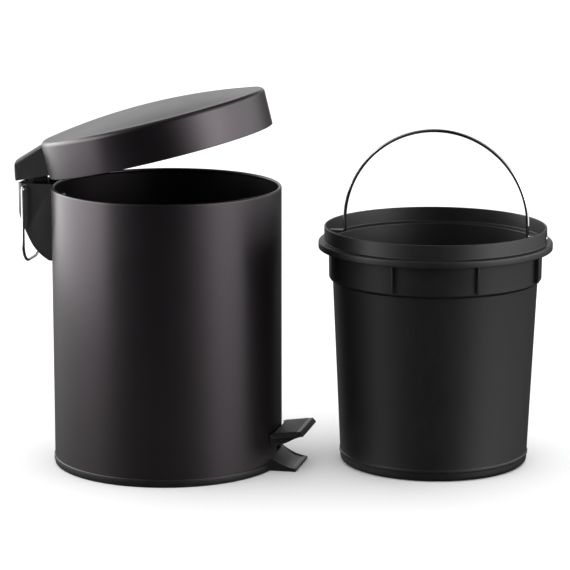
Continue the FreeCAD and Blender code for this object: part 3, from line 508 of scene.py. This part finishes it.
def wire(name, path, radius, across):
    """A round wire along a flat path in millimetres. Across is the direction square to the path's plane."""
    path = [Vector(point) for point in path]
    across = Vector(across)
    turns = [2 * math.pi * i / WIRE_SIDES for i in range(WIRE_SIDES)]
    sections = []
    for index, here in enumerate(path):
        along = (path[min(index + 1, len(path) - 1)] - path[max(index - 1, 0)]).normalized()
        out = along.cross(across)
        sections.append([here + (across * math.cos(t) + out * math.sin(t)) * radius for t in turns])
    return loft(name, sections, sharp_deg=50.0)


def mirrored(points):
    """A half path and its mirror image, joined into one."""
    return points + [Vector((-p.x, p.y)) for p in points[::-1]]


bend = circle_arc(BAIL_R + BAIL_BEND, BAIL_BEND, BAIL_BEND, 270, 180, 8)
arch = circle_arc(0, BAIL_LEG, BAIL_R, 0, 90, 90)
half_bail = [Vector((COLLAR_R + 0.1, 0)), *bend, *arch[:-1]]
centre = BUCKET / MM
bail_path = [(centre.x, centre.y + p.x, BAIL_Z + p.y) for p in mirrored(half_bail)]
bail = wire("bail", bail_path, BAIL_WIRE_R, (1, 0, 0))
place(bail, "bucket_bail", "chromed_wire", "bucket_bail")

for side, name in ((-1, "bail_head_front"), (1, "bail_head_rear")):
    head = lathe(name, rounded(HEAD), segments=40)
    head.data.transform(Matrix.Rotation(-side * math.pi / 2, 4, "X"))
    head.data.transform(Matrix.Translation(BUCKET + Vector((0, side * COLLAR_R, BAIL_Z)) * MM))
    place(head, "bucket_bail", "chromed_wire", "bucket_bail")

corner = circle_arc(LOOP_HALF - LOOP_BEND, -LOOP_BEND, LOOP_BEND, 90, 0, 8)
turn = circle_arc(LOOP_HALF - LOOP_ROUND, LOOP_ROUND - LOOP_DROP, LOOP_ROUND, 0, -90, 20)
half_loop = [Vector((LOOP_END, 0)), *corner, *turn]
hinge_mm = hinge / MM
loop_path = [(p.x, hinge_mm.y, hinge_mm.z + p.y) for p in mirrored(half_loop)]
loop = wire("carry_loop_visual", loop_path, LOOP_WIRE_R, (0, 1, 0))
place(loop, "carry_loop", "chromed_wire", "carry_loop")

# %% [markdown]
# Every finish is made of nodes. One small function adds a node with its settings and its links, so that each
# finish reads from top to bottom as a recipe.

# %% Nodes and colours
def linear(hex_colour):
    """An sRGB colour such as 1c1b1c, turned to the linear values that the shader needs."""
    values = [int(hex_colour[i:i + 2], 16) / 255 for i in (0, 2, 4)]
    return (*[v / 12.92 if v <= 0.04045 else ((v + 0.055) / 1.055) ** 2.4 for v in values], 1.0)


def add(tree, kind, sockets=None, stops=(), **settings):
    """A node of this kind. A socket's value is set, or linked if it is another node's output. A colour ramp's
    stops are (position, grey) or (position, hex colour)."""
    node = tree.nodes.new(kind)
    for key, value in settings.items():
        setattr(node, key, value)
    for key, value in (sockets or {}).items():
        if isinstance(value, bpy.types.NodeSocket):
            tree.links.new(value, node.inputs[key])
        else:
            node.inputs[key].default_value = value
    while stops and len(node.color_ramp.elements) < len(stops):
        node.color_ramp.elements.new(0.5)
    for index, (position, colour) in enumerate(stops):
        element = node.color_ramp.elements[index]
        element.position = position
        element.color = linear(colour) if isinstance(colour, str) else (colour, colour, colour, 1.0)
    return node


def finish(name):
    """A new material with an empty principled shader, and the coordinates its patterns are drawn in."""
    material = bpy.data.materials.new(name)
    material.use_nodes = True
    tree = material.node_tree
    tree.nodes.clear()
    shader = add(tree, "ShaderNodeBsdfPrincipled")
    add(tree, "ShaderNodeOutputMaterial", {"Surface": shader.outputs[0]})
    where = add(tree, "ShaderNodeTexCoord").outputs["Object"]
    return material, tree, shader, where


# %% [markdown]
# Powder coat is dry paint melted onto the steel. It pulls itself nearly flat but keeps a faint orange peel a
# millimetre or so across, with a much finer grain that turns the gloss into a satin haze.

# %% Matt black powder coat on steel
ORANGE_PEEL = 1.6 * MM
GRAIN = 0.35 * MM
HANDLING = 60 * MM
PEEL_DEPTH = 0.1 * MM
GRAIN_DEPTH = 0.03 * MM


def powder_coat():
    material, tree, shader, where = finish("powder_coat_matt_black")
    peel = add(tree, "ShaderNodeTexNoise", {"Vector": where, "Scale": 1 / ORANGE_PEEL, "Detail": 2.0,
                                            "Roughness": 0.5})
    grain = add(tree, "ShaderNodeTexNoise", {"Vector": where, "Scale": 1 / GRAIN, "Detail": 1.0})
    cloud = add(tree, "ShaderNodeTexNoise", {"Vector": where, "Scale": 1 / HANDLING, "Detail": 4.0,
                                             "Roughness": 0.6}).outputs["Fac"]
    coarse = add(tree, "ShaderNodeBump", {"Height": peel.outputs["Fac"], "Strength": 0.05,
                                          "Distance": PEEL_DEPTH})
    fine = add(tree, "ShaderNodeBump", {"Height": grain.outputs["Fac"], "Strength": 0.09,
                                        "Distance": GRAIN_DEPTH, "Normal": coarse.outputs["Normal"]})
    worn = add(tree, "ShaderNodeNewGeometry").outputs["Pointiness"]
    edge = add(tree, "ShaderNodeValToRGB", {"Fac": worn}, [(0.53, 0.0), (0.62, 1.0)])
    base = add(tree, "ShaderNodeValToRGB", {"Fac": cloud}, [(0.3, "060506"), (0.7, "090809")])
    colour = add(tree, "ShaderNodeMix", {"Factor": edge.outputs[0], "A": base.outputs[0],
                                         "B": linear("191718")}, data_type="RGBA")
    rough = add(tree, "ShaderNodeValToRGB", {"Fac": cloud}, [(0.3, 0.31), (0.7, 0.36)])
    tree.links.new(colour.outputs["Result"], shader.inputs["Base Color"])
    tree.links.new(rough.outputs[0], shader.inputs["Roughness"])
    tree.links.new(fine.outputs["Normal"], shader.inputs["Normal"])
    shader.inputs["IOR"].default_value = 1.5
    shader.inputs["Specular Tint"].default_value = linear("fff1fb")
    return material


# %% [markdown]
# Polypropylene is a soft, slightly waxy plastic. The tool is spark-eroded so that the moulding comes out with a
# fine even grain that hides scuffs, and its edges polish a little paler where hands and shoes rub them.

# %% Moulded black polypropylene
SPARK_GRAIN = 0.5 * MM
SCUFF = 9 * MM
SPARK_DEPTH = 0.06 * MM


def moulded(name, dark, pale, rub, rough, grain_size, strength):
    material, tree, shader, where = finish(name)
    grain = add(tree, "ShaderNodeTexVoronoi", {"Vector": where, "Scale": 1 / grain_size}, feature="SMOOTH_F1")
    scuff = add(tree, "ShaderNodeTexNoise", {"Vector": where, "Scale": 1 / SCUFF, "Detail": 6.0,
                                             "Roughness": 0.7, "Distortion": 1.2}).outputs["Fac"]
    worn = add(tree, "ShaderNodeNewGeometry").outputs["Pointiness"]
    edge = add(tree, "ShaderNodeValToRGB", {"Fac": worn}, [(0.52, 0.0), (0.6, 1.0)])
    base = add(tree, "ShaderNodeValToRGB", {"Fac": scuff}, [(0.35, dark), (0.7, pale)])
    colour = add(tree, "ShaderNodeMix", {"Factor": edge.outputs[0], "A": base.outputs[0], "B": linear(rub)},
                 data_type="RGBA")
    haze = add(tree, "ShaderNodeValToRGB", {"Fac": scuff}, [(0.3, rough - 0.04), (0.75, rough + 0.05)])
    bump = add(tree, "ShaderNodeBump", {"Height": grain.outputs["Distance"], "Strength": strength,
                                        "Distance": SPARK_DEPTH})
    tree.links.new(colour.outputs["Result"], shader.inputs["Base Color"])
    tree.links.new(haze.outputs[0], shader.inputs["Roughness"])
    tree.links.new(bump.outputs["Normal"], shader.inputs["Normal"])
    shader.inputs["IOR"].default_value = 1.49
    return material


# %% [markdown]
# Chrome plate is a mirror with a cold tint, and its haze varies a little where the wire was drawn. Zinc plate
# on the hidden steel is greyer and cloudy, with a soft crystal pattern a few millimetres across.

# %% Chrome and zinc
DRAW_MARK = 0.4 * MM
SPANGLE = 3.0 * MM


def chrome():
    material, tree, shader, where = finish("chrome_plated_wire")
    lines = add(tree, "ShaderNodeTexNoise", {"Vector": where, "Scale": 1 / DRAW_MARK, "Detail": 2.0})
    haze = add(tree, "ShaderNodeValToRGB", {"Fac": lines.outputs["Fac"]}, [(0.35, 0.07), (0.7, 0.16)])
    tree.links.new(haze.outputs[0], shader.inputs["Roughness"])
    shader.inputs["Base Color"].default_value = linear("c6c8cc")
    shader.inputs["Metallic"].default_value = 1.0
    return material


def zinc():
    material, tree, shader, where = finish("bright_zinc_plate")
    cells = add(tree, "ShaderNodeTexVoronoi", {"Vector": where, "Scale": 1 / SPANGLE})
    tint = add(tree, "ShaderNodeValToRGB", {"Fac": cells.outputs["Color"]}, [(0.2, "8d9093"), (0.8, "a9abad")])
    haze = add(tree, "ShaderNodeValToRGB", {"Fac": cells.outputs["Distance"]}, [(0.0, 0.28), (1.0, 0.44)])
    tree.links.new(tint.outputs[0], shader.inputs["Base Color"])
    tree.links.new(haze.outputs[0], shader.inputs["Roughness"])
    shader.inputs["Metallic"].default_value = 1.0
    return material


# %% [markdown]
# The housing, the cap and the small steel parts keep the shape they have in the CAD model. A moulding or a
# pressing never has a knife edge, so their edges are broken by a fraction of a millimetre.

# %% Broken edges
EDGE_BREAK = {"hinge_bracket": 0.5, "lid_cap": 0.35, "pedal_lever": 0.3, "backing_plate": 0.2,
              "floor_plate": 0.3, "pivot_bracket": 0.3, "rod_bush": 0.2, "hinge_tube": 0.15}
SEAM_GAP = 0.002 * MM
BREAK_STEPS = 3
BREAK_DEG = 40
for name, width in EDGE_BREAK.items():
    node = frame["nodes"][name]
    weld = node.modifiers.new("weld", "WELD")
    weld.merge_threshold = SEAM_GAP
    soften = node.modifiers.new("soften", "BEVEL")
    soften.width = width * MM
    soften.segments = BREAK_STEPS
    soften.limit_method = "ANGLE"
    soften.angle_limit = math.radians(BREAK_DEG)
    soften.harden_normals = True
print("edges broken", EDGE_BREAK)

# %% Finishes onto pieces
finishes = {
    "coated_steel": powder_coat(),
    "black_polypropylene": moulded("polypropylene_spark_grain", "0f0e0f", "131213", "222122", 0.42,
                                   SPARK_GRAIN, 0.35),
    "bucket_polypropylene": moulded("polypropylene_satin", "0d0c0d", "110f10", "1f1e1f", 0.46,
                                    1.4 * SPARK_GRAIN, 0.12),
    "chromed_wire": chrome(),
    "zinc_steel": zinc(),
}
node_slots = {part["node"]: part["material_slot"] for part in frame["record"]["subparts"]}
cad_pieces = [(node, node_slots[name]) for name, node in frame["nodes"].items()]
for piece, slot in cad_pieces + placed:
    piece.data.materials.clear()
    piece.data.materials.append(finishes[slot])
print("finishes", sorted(finishes))

# %% [markdown]
# The stage is a pale floor in a plain white studio, which lights everything softly from all round. A black
# object shows mostly what it reflects, so reflections alone see a painted studio. It is dark in front, which
# keeps the near faces black, and bright to both sides, which draws the two upright bands. WALLS is its
# brightness round the compass, in degrees from the camera's side, and CLIMB is how that changes from low to
# high. A soft box close by on the left lights reflections only, and the floor is left out of them.

# %% Floor, sky and lights
CAMERA_AZ = math.radians(-75.0)
CAMERA_EL = math.radians(12.02)
away = Vector((-math.sin(CAMERA_AZ), math.cos(CAMERA_AZ), 0))
right = Vector((math.cos(CAMERA_AZ), math.sin(CAMERA_AZ), 0))

FLOOR_HALF = 6.0
FLOOR_Z = -0.0002
PAPER_FIBRE = 2.5 * MM
floor_corners = [(x * FLOOR_HALF, y * FLOOR_HALF, FLOOR_Z) for x, y in ((-1, -1), (1, -1), (1, 1), (-1, 1))]
floor = mesh_object("floor", floor_corners, [(0, 1, 2, 3)])
paper, tree, shader, where = finish("white_paper_floor")
fibre = add(tree, "ShaderNodeTexNoise", {"Vector": where, "Scale": 1 / PAPER_FIBRE, "Detail": 3.0})
tint = add(tree, "ShaderNodeValToRGB", {"Fac": fibre.outputs["Fac"]}, [(0.3, "f6f6f6"), (0.7, "fafafa")])
tree.links.new(tint.outputs[0], shader.inputs["Base Color"])
shader.inputs["Roughness"].default_value = 0.9
floor.data.materials.append(paper)
floor.visible_glossy = False

FILL = 1.4
WALLS = [(-180, 0.42), (-160, 0.5), (-137, 1.2), (-112, 1.6), (-92, 1.7), (-78, 1.5), (-64, 1.0),
         (-52, 0.4), (-40, 0.08), (-20, 0.0), (16, 0.03), (34, 0.75), (52, 2.7), (66, 2.6), (84, 1.7),
         (104, 1.2), (122, 0.8), (138, 0.25), (156, 0.12), (168, 0.4), (180, 0.5)]
CLIMB = [(-0.31, 0.08), (-0.23, 0.35), (-0.12, 0.9), (0.0, 0.9), (0.12, 2.3), (0.22, 3.6), (0.34, 2.0),
         (0.6, 0.5), (0.9, 0.4)]
BRIGHTEST = max(value for _, value in WALLS)
STEEPEST = max(value for _, value in CLIMB)

world = bpy.data.worlds.new("studio")
bpy.context.scene.world = world
world.use_nodes = True
tree = world.node_tree
tree.nodes.clear()
direction = add(tree, "ShaderNodeTexCoord").outputs["Generated"]
ahead = add(tree, "ShaderNodeVectorMath", {0: direction, 1: -away}, operation="DOT_PRODUCT")
aside = add(tree, "ShaderNodeVectorMath", {0: direction, 1: right}, operation="DOT_PRODUCT")
turn = add(tree, "ShaderNodeMath", {0: aside.outputs["Value"], 1: ahead.outputs["Value"]}, operation="ARCTAN2")
compass = add(tree, "ShaderNodeMapRange", {"Value": turn.outputs[0], "From Min": -math.pi,
                                           "From Max": math.pi})
walls = add(tree, "ShaderNodeValToRGB", {"Fac": compass.outputs[0]},
            [((angle + 180) / 360, value / BRIGHTEST) for angle, value in WALLS])
walls.color_ramp.interpolation = "EASE"
height = add(tree, "ShaderNodeSeparateXYZ", {"Vector": direction}).outputs["Z"]
rise = add(tree, "ShaderNodeMapRange", {"Value": height, "From Min": -1.0, "From Max": 1.0})
climb = add(tree, "ShaderNodeValToRGB", {"Fac": rise.outputs[0]},
            [((z + 1) / 2, value / STEEPEST) for z, value in CLIMB])
lift = add(tree, "ShaderNodeMath", {0: climb.outputs[0], 1: BRIGHTEST * STEEPEST}, operation="MULTIPLY")
sky = add(tree, "ShaderNodeBackground", {"Color": walls.outputs[0], "Strength": lift.outputs[0]})
plain = add(tree, "ShaderNodeBackground", {"Color": (1, 1, 1, 1), "Strength": FILL})
mirror = add(tree, "ShaderNodeLightPath").outputs["Is Glossy Ray"]
mix = add(tree, "ShaderNodeMixShader", {0: mirror, 1: plain.outputs[0], 2: sky.outputs[0]})
add(tree, "ShaderNodeOutputWorld", {"Surface": mix.outputs[0]})

SOFT_BOX = (1.10, 0.62)
SOFT_BOX_AT = away * 0.10 - right * 0.56 + Vector((0, 0, 0.40))
SOFT_BOX_AIM = Vector((0, 0, 0.30))
SOFT_BOX_POWER = 7.0
lamp = bpy.data.lights.new("soft_box", "AREA")
lamp.shape = "RECTANGLE"
lamp.size, lamp.size_y = SOFT_BOX
lamp.energy = SOFT_BOX_POWER
soft_box = bpy.data.objects.new("soft_box", lamp)
bpy.context.scene.collection.objects.link(soft_box)
soft_box.location = SOFT_BOX_AT
soft_box.rotation_euler = (SOFT_BOX_AIM - SOFT_BOX_AT).to_track_quat("-Z", "Y").to_euler()
soft_box.visible_camera = False
soft_box.visible_diffuse = False
print("studio of", len(WALLS), "wall stops, soft box at", [round(v, 2) for v in SOFT_BOX_AT])

# %% [markdown]
# The camera stands a long way off with a long lens, as is usual in a catalogue studio, so that the round body
# keeps its upright sides.

# %% Camera
SENSOR_WIDTH = 36.0
CAMERA_DISTANCE = 2.508
CAMERA_LENS = 176.2
CAMERA_PIVOT = Vector((0, 0, 0.130))
CAMERA_AIM = Vector((0.0308, -0.1011, 0.1581))
camera_data = bpy.data.cameras.new("camera")
camera_data.lens = CAMERA_LENS
camera_data.sensor_width = SENSOR_WIDTH
camera = bpy.data.objects.new("camera", camera_data)
bpy.context.scene.collection.objects.link(camera)
outwards = -away * math.cos(CAMERA_EL) + Vector((0, 0, math.sin(CAMERA_EL)))
camera.location = CAMERA_PIVOT + outwards * CAMERA_DISTANCE
camera.rotation_euler = (CAMERA_AIM - camera.location).to_track_quat("-Z", "Y").to_euler()
bpy.context.scene.camera = camera
bpy.context.scene.view_settings.view_transform = "Standard"
print("camera at", [round(v, 3) for v in camera.location])
